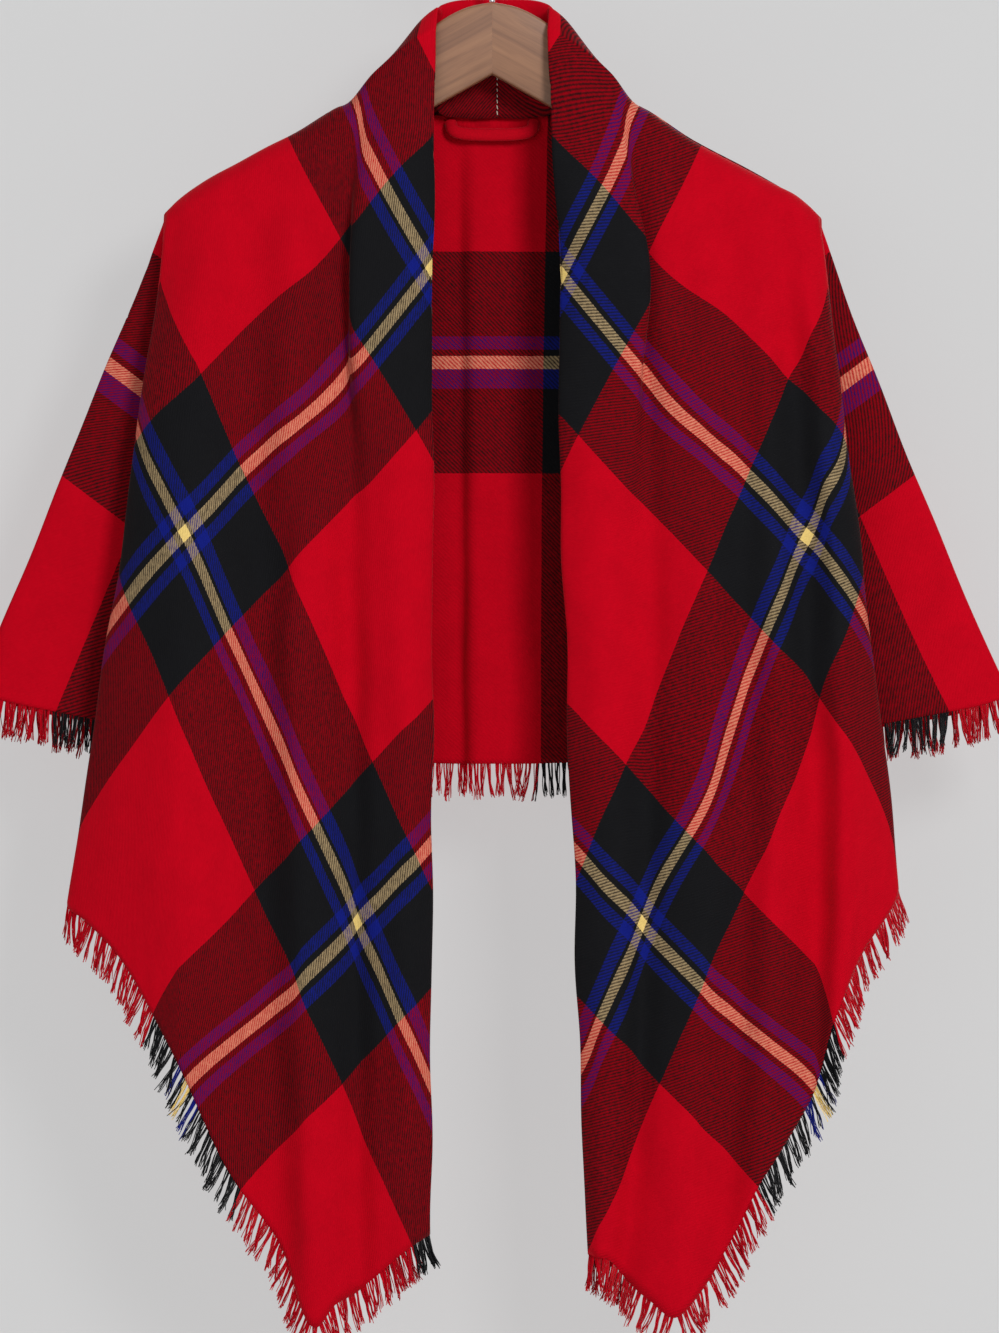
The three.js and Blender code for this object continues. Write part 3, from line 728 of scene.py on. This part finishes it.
def tassels(first, last):
    # roots along the hem between two columns, each with its way out, its u, v and column
    hem, above = sheet[-1, first:last + 1], sheet[-2, first:last + 1]
    length = arcs(hem[None], 1)[0]
    count = max(int(length[-1] / fringe["spacing"]), 2)
    uneven = rng.uniform(-fringe["uneven"], fringe["uneven"], count)
    at = (np.arange(count) + 0.5 + uneven) / count * length[-1]
    strand = at[:, None] + rng.uniform(-1, 1, (count, fringe["strands"])) * fringe["spread"]
    strand = strand.clip(0, length[-1])
    along = np.gradient(hem, axis=0)
    normals = gridNormals(sheet[-2:, first:last + 1])[-1]
    out = np.cross(along, normals)
    out *= np.sign(np.sum(out * (hem - above), -1, keepdims=True))
    out /= np.maximum(np.linalg.norm(out, axis=-1, keepdims=True), 1e-9)

    def pick(values, place):
        return np.stack([np.interp(place, length, values[:, k]) for k in range(3)], -1)

    return {
        "root": pick(hem, strand), "middle": pick(hem, at), "out": pick(out, at), "normal": pick(normals, at),
        "u": np.interp(strand, length, u[-1, first:last + 1]),
        "v": np.interp(strand, length, v[-1, first:last + 1]),
        "column": np.interp(at, length, np.arange(first, last + 1)),
    }


def fringePiece(name, spans, corners, *nodes):
    # each strand leaves its tassel's root and gathers, bends, sways and curls on the way to its tip
    paths, radii, colours = [], [], []
    twist, curl = fringe["twist"], fringe["curl"]
    for first, last in spans:
        t = tassels(first, last)
        count, strands = t["root"].shape[:2]
        s = np.linspace(0, 1, fringe["rings"])
        reach = fringe["length"] * rng.uniform(fringe["shortest"][0], 1, (count, strands, 1, 1))
        reach = reach * rng.uniform(fringe["shortest"][1], 1, (count, 1, 1, 1))
        way = t["out"] * (1 - fringe["droop"]) + np.array((0, 0, -fringe["droop"]))
        way /= np.linalg.norm(way, axis=-1, keepdims=True)
        side = np.cross(way, t["normal"])
        side /= np.linalg.norm(side, axis=-1, keepdims=True)
        bend = rng.normal(0, fringe["bend"], (count, 1, 1, 1))
        sway = rng.normal(0, fringe["sway"], (count, strands, 1, 1))
        depth = rng.normal(0, fringe["lift"], (count, strands, 1, 1))
        turn = rng.uniform(0, 2 * math.pi, (count, strands, 1, 1))
        line = s[None, None, :, None]
        gather = 1 - (1 - fringe["gather"]) * smoothStep(line * 1.25)
        offset = (t["root"] - t["middle"][:, None])[:, :, None] * gather
        paths.append((
            t["middle"][:, None, None] + offset
            + way[:, None, None] * line * reach
            + side[:, None, None] * (
                bend * line**1.7 + sway * line + twist[0] * line * np.sin(curl * line + turn))
            + t["normal"][:, None, None] * (depth * line + twist[1] * line * np.cos(curl * line + turn))
            - way[:, None, None] * fringe["rooted"]).reshape(-1, fringe["rings"], 3))
        radii.append(np.broadcast_to(fringe["radius"] * (1 - fringe["taper"] * s), paths[-1].shape[:2]))
        onSide = np.array([any(a <= c <= b for a, b in corners) for c in t["column"]])
        across, down = bandColours(t["v"], weftBands), bandColours(np.abs(t["u"]), warpBands)
        tone = np.where(onSide[:, None, None], across, down)
        tone = tone * rng.uniform(*fringe["tone"], (count, strands, 1))
        colours.append(tone.reshape(-1, 3))
    sides = fringe["sides"]
    points, faces = tubes(np.concatenate(paths) + shiftX, np.concatenate(radii), sides)
    piece = meshPiece(name, points, faces)
    colour = np.repeat(np.concatenate(colours), sides * fringe["rings"], 0)
    attribute = piece.data.attributes.new("threadColour", "FLOAT_COLOR", "POINT")
    attribute.data.foreach_set("color", np.c_[colour, np.ones(len(colour))].astype(np.float32).ravel())
    return finishPiece(piece, wool, "fringe", *nodes)


wool = threadMaterial("looseWool")
for side in ("left", "right"):
    capeHalf(side)
    wingSpan = sorted((column(side + " hiddenValley"), column(side + " wingBack")))
    frontSpan = sorted((column(side + " turnedEdge"), column(side + " frontEdge")))
    sideEdge = tuple(sorted((column(side + " cornerRidge"), column(side + " frontEdge"))))
    fringePiece(
        "fringe_threads_" + side, (frontSpan, wingSpan), (sideEdge,),
        "fringe_front_" + side, "fringe_wing_" + side, "fringe_collar_" + side)
    print("half made:", side)
capeBack()
backSpan = (column("left wingBack"), column("right wingBack"))
fringePiece("fringe_threads_back", (backSpan,), (), "fringe_back")
print("back made")

# Hanging loop: a flat fabric tube sewn under the back-neck seam
loop = {
    "halfWidth": 28, "seamZ": -139, "sag": 10, "y": 27.2, "yOut": 23,
    "thick": 2.2, "tall": 4.2, "sides": 20,
}


def hangingLoop():
    # a tube along a smooth sagging route, flattened to the loop's width and thickness
    a, z = loop["halfWidth"], loop["seamZ"]
    route = np.array([(
        (-a - 1, loop["y"], z - 1.5), (-a + 2, loop["yOut"], z - 0.75 * loop["sag"]),
        (-a / 2, loop["yOut"], z - loop["sag"]), (a / 2, loop["yOut"], z - loop["sag"]),
        (a - 2, loop["yOut"], z - 0.75 * loop["sag"]), (a + 1, loop["y"], z - 1.5))], float)
    path = smoothed(route, 10)
    points, faces = tubes(path, np.ones(path.shape[:2]), loop["sides"])
    centre = np.repeat(path[0], loop["sides"], 0)
    points = centre + (points - centre) * (loop["tall"], loop["thick"], loop["tall"])
    piece = meshPiece("neck_loop", points, faces)
    return finishPiece(piece, plainRed, "loop_cloth", "hanging_loop")


plainRed = threadMaterial("plainRedWool", threads["red"])
hangingLoop()

# Stitches down the centre back, inside the collar
stitch = {"count": 9, "length": 3.1, "radius": 0.35, "from": (18.9, -101), "to": (25.7, -136),
          "proud": 1.5, "dip": 1.2, "lean": 0.5}


def stitches():
    # short tubes in a row down the seam, each bowed out of the cloth
    n = Nodes("creamThread")
    cream = n.shade(Base_Color=(*linear((214, 196, 180)), 1), Roughness=0.7)
    at = (np.arange(stitch["count"]) + 0.5) / stitch["count"]
    ends = np.array((stitch["from"], stitch["to"]), float)
    middle = ends[0] + (ends[1] - ends[0]) * at[:, None]
    way = (ends[1] - ends[0]) / np.linalg.norm(ends[1] - ends[0])
    s = np.linspace(-0.5, 0.5, 5)
    yz = middle[:, None] + way * (s * stitch["length"])[:, None]
    lift = stitch["proud"] - stitch["dip"] * (2 * s) ** 4      # both ends sink into the cloth
    paths = np.stack([np.broadcast_to(stitch["lean"] * s, yz.shape[:2]), yz[..., 0] - lift, yz[..., 1]], -1)
    points, faces = tubes(paths + shiftX, np.full(paths.shape[:2], stitch["radius"]), 5)
    piece = meshPiece("collar_stitches", points, faces)
    piece.data.materials.append(cream)
    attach(piece, "root")
    return piece


stitches()

# Hanger
arm = {
    "top": ((0.02, -60), (17, -63.5), (34, -72), (47, -83), (56, -97.3), (76, -119.6), (95, -134.6),
            (109, -143), (134, -159.4), (156, -171.4), (177, -182.4), (196, -192.4), (206, -199),
            (211, -205)),
    "under": ((0.02, -109.5), (35, -129), (70, -149), (120, -183), (180, -210), (204, -217), (211, -212)),
    "halfDepth": 6,
    "bevel": 2.2,
    "sections": 60,
    "ring": 32,
    "grainTurn": -0.5,      # radians: the grain runs down along the arm
}


def evenly(outline, count):
    # points the same distance apart along a smooth line through the outline
    route = smoothed(np.array([[(x, 0, z) for x, z in outline]], float), 8)
    length = arcs(route, 1)[0]
    at = np.linspace(0, length[-1], count)
    return np.stack([np.interp(at, length, route[0, :, k]) for k in (0, 2)], -1)


def hangerArm(side):
    # sections from top line to under line: a rectangle with round corners, and a flat end face
    sign = -1 if side == "left" else 1
    top, under = evenly(arm["top"], arm["sections"]), evenly(arm["under"], arm["sections"])
    middle, half = (top + under) / 2, (top - under) / 2
    tall = np.linalg.norm(half, axis=-1, keepdims=True)
    up = half / tall
    angle = (np.arange(arm["ring"]) + 0.5) * 2 * math.pi / arm["ring"]
    bevel = np.minimum(arm["bevel"], 0.45 * tall)
    rise = np.sign(np.sin(angle)) * (tall - bevel) + bevel * np.sin(angle)
    depth = np.sign(np.cos(angle)) * (arm["halfDepth"] - bevel) + bevel * np.cos(angle)
    xz = middle[:, None] + up[:, None] * rise[..., None]
    points = np.stack([xz[..., 0] * sign, depth, xz[..., 1]], -1)
    points = points[[0, *range(len(points)), -1]]       # the end faces have corners of their own
    xz = xz[[0, *range(len(xz)), -1]]
    ids = np.arange(points[..., 0].size).reshape(points.shape[:2])
    ring = np.concatenate([ids, ids[:, :1]], 1)[1:-1]
    faces = quads(ring)
    if side == "left":
        faces = faces[:, ::-1]
    caps = [ids[0].tolist()[::sign], ids[-1].tolist()[::-sign]]
    turnedX = xz[..., 0] * math.cos(arm["grainTurn"]) + xz[..., 1] * math.sin(arm["grainTurn"])
    turnedZ = -xz[..., 0] * math.sin(arm["grainTurn"]) + xz[..., 1] * math.cos(arm["grainTurn"])
    grain = np.stack([turnedX + (900 if side == "left" else 0), turnedZ + points[..., 1]], -1).reshape(-1, 2)
    piece = meshPiece("hanger_wood_" + side, points.reshape(-1, 3), faces.tolist() + caps, grain)
    return finishPiece(piece, wood, "hanger_wood", "hanger_arm_" + side)


hook = {"wire": 3.8, "radius": 18, "foot": -59.5, "sides": 16}


def hangerHook():
    # a round wire: up from the wood, out to one side and round the rail, thinning at its end
    centreZ = hook["wire"] / 2 - hook["radius"]
    turn = np.radians(np.linspace(-35, 200, 11))
    bend = [(hook["radius"] * math.cos(a), 0, centreZ + hook["radius"] * math.sin(a)) for a in turn]
    path = smoothed(np.array([[(0, 0, hook["foot"]), (0, 0, -54), (1, 0, -46), (8, 0, -38), *bend]]), 8)
    radii = np.full(path.shape[:2], hook["wire"] / 2)
    radii[:, -4:] *= (0.97, 0.9, 0.75, 0.45)
    points, faces = tubes(path, radii, hook["sides"])
    return finishPiece(meshPiece("hook_wire", points, faces), steelMaterial(), "hook_steel", "hanger_hook")


wood = woodMaterial()
for side in ("left", "right"):
    hangerArm(side)
hangerHook()
print("hanger made")

# Studio
studio = {
    "wallY": 0.12, "floorZ": -1.03, "wallTone": (98, 98, 98), "wallGlow": 4.0, "floorTone": (214, 213, 210),
    "room": (6, 5, 8, 6),   # half width, wall's height, floor in front and behind
    "cameraX": 0.005, "cameraZ": -0.515, "frontY": -0.05, "distance": 6.0, "viewHeight": 0.906,
}


def stageMaterial(name, tone, oneSided):
    # matt paint; the one-sided wall glows a little, and lets through light and views from behind
    n = Nodes(name)
    grain = n.add("TexNoise", {"Vector": n.add("TexCoord").outputs["Object"], "Scale": 3.0}).outputs[0]
    colour = n.mix(n.sum("MULTIPLY", grain, 0.12), linear(tone), (0.4, 0.4, 0.42))
    material = n.shade(Base_Color=colour, Roughness=0.9)
    if oneSided:
        output = next(node for node in n.tree.nodes if node.type == "OUTPUT_MATERIAL")
        shader = output.inputs[0].links[0].from_socket
        glow = n.add("Emission", {"Color": (*linear(tone), 1), "Strength": studio["wallGlow"]}).outputs[0]
        shader = n.add("AddShader", {0: shader, 1: glow}).outputs[0]
        hidden = n.sum("MAXIMUM", n.add("NewGeometry").outputs["Backfacing"],
                       n.add("LightPath").outputs["Is Shadow Ray"])
        through = n.add("BsdfTransparent").outputs[0]
        both = n.add("MixShader", {0: hidden, 1: shader, 2: through})
        n.tree.links.new(both.outputs[0], output.inputs[0])
    return material


def backdrop():
    # one wall close behind the cape, and one floor
    half, tall, near, far = np.array(studio["room"]) / mm
    floorZ, wallY = studio["floorZ"] / mm, studio["wallY"] / mm
    wallCorners = np.array([(-half, wallY, 0), (half, wallY, 0), (half, wallY, tall), (-half, wallY, tall)])
    floorCorners = np.array([(-half, -near, 0), (half, -near, 0), (half, far, 0), (-half, far, 0)])
    wall, floor = (meshPiece(name, corners + (0, 0, floorZ), [(0, 1, 2, 3)], smooth=False)
                   for name, corners in (("studio_wall", wallCorners), ("studio_floor", floorCorners)))
    wall.data.materials.append(stageMaterial("wallPaint", studio["wallTone"], True))
    floor.data.materials.append(stageMaterial("floorPaint", studio["floorTone"], False))


def areaLight(name, place, aim, size, power, tone=(1, 1, 1)):
    # a rectangle turned to face its aim
    data = bpy.data.lights.new(name, "AREA")
    data.shape = "RECTANGLE"
    data.size, data.size_y = size
    data.energy, data.color = power, tone
    light = bpy.data.objects.new(name, data)
    light.location = place
    way = [a - b for a, b in zip(aim, place)]
    light.rotation_euler = (math.atan2(math.hypot(way[0], way[1]), -way[2]), 0,
                            math.atan2(way[1], way[0]) - math.pi / 2)
    bpy.context.scene.collection.objects.link(light)


def studioLights():
    middle = (0, 0, -0.5)
    areaLight("key", (1.5, -3.5, 1.1), middle, (1.0, 1.0), 88)
    areaLight("fill", (-1.4, -3.8, 0.0), middle, (2.4, 2.4), 22, (0.97, 0.98, 1.0))
    areaLight("back_light", (0.6, 2.6, 0.6), middle, (2.0, 2.0), 60)
    world = bpy.data.worlds.new("studioAir")
    world.use_nodes = True
    world.node_tree.nodes["Background"].inputs[0].default_value = (0.92, 0.94, 0.96, 1)
    world.node_tree.nodes["Background"].inputs[1].default_value = 0.34
    bpy.context.scene.world = world


def studioCamera():
    data = bpy.data.cameras.new("view")
    camera = bpy.data.objects.new("view", data)
    data.lens = data.sensor_width * studio["distance"] / studio["viewHeight"]
    data.clip_end = 100
    camera.location = (studio["cameraX"], studio["frontY"] - studio["distance"], studio["cameraZ"])
    camera.rotation_euler = (math.pi / 2, 0, 0)
    bpy.context.scene.collection.objects.link(camera)
    bpy.context.scene.camera = camera
    bpy.context.scene.view_settings.view_transform = "Standard"


backdrop()
studioLights()
studioCamera()
print("studio made")
